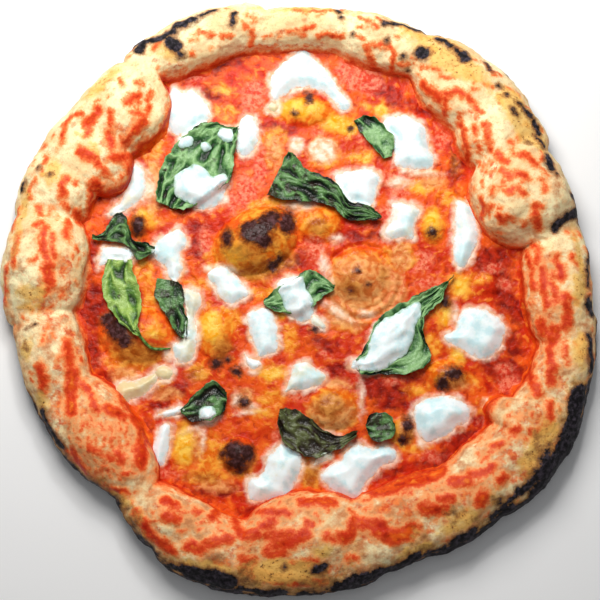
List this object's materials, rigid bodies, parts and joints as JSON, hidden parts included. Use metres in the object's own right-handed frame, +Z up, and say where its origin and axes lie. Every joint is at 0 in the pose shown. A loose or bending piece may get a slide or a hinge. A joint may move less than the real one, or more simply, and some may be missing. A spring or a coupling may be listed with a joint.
{
  "type": "margherita pizza",
  "caption": "Whole Neapolitan-style margherita pizza with a puffed, charred rim around a tomato bed with blisters, melted mozzarella and wilted basil.",
  "frame": {"origin": "middle of the flat underside of the dough", "axes": "+Z up out of the toppings; +Y points from the middle towards the edge that lies at the top of the view"},
  "size_m": [0.3225, 0.3259, 0.0316],
  "materials": {
    "dough": "baked, with glossy tomato sauce on the bed",
    "mozzarella": "wet, melted",
    "basil": "oiled leaf"
  },
  "bodies": {
    "root": {"dough": "dough", "mozzarella_01": "mozzarella", "mozzarella_02": "mozzarella", "mozzarella_03": "mozzarella", "mozzarella_04": "mozzarella", "mozzarella_05": "mozzarella", "mozzarella_06": "mozzarella", "mozzarella_07": "mozzarella", "mozzarella_08": "mozzarella", "mozzarella_09": "mozzarella", "mozzarella_10": "mozzarella", "mozzarella_11": "mozzarella", "mozzarella_12": "mozzarella", "mozzarella_13": "mozzarella", "mozzarella_14": "mozzarella", "mozzarella_15": "mozzarella", "mozzarella_16": "mozzarella", "mozzarella_17": "mozzarella", "mozzarella_18": "mozzarella", "mozzarella_19": "mozzarella", "mozzarella_20": "mozzarella", "mozzarella_21": "mozzarella", "mozzarella_22": "mozzarella", "mozzarella_23": "mozzarella", "basil_01": "basil", "basil_02": "basil", "basil_03": "basil", "basil_04": "basil", "basil_05": "basil", "basil_06": "basil", "basil_07": "basil", "basil_08": "basil", "basil_09": "basil", "basil_10": "basil", "basil_11": "basil"}
  },
  "joints": []
}
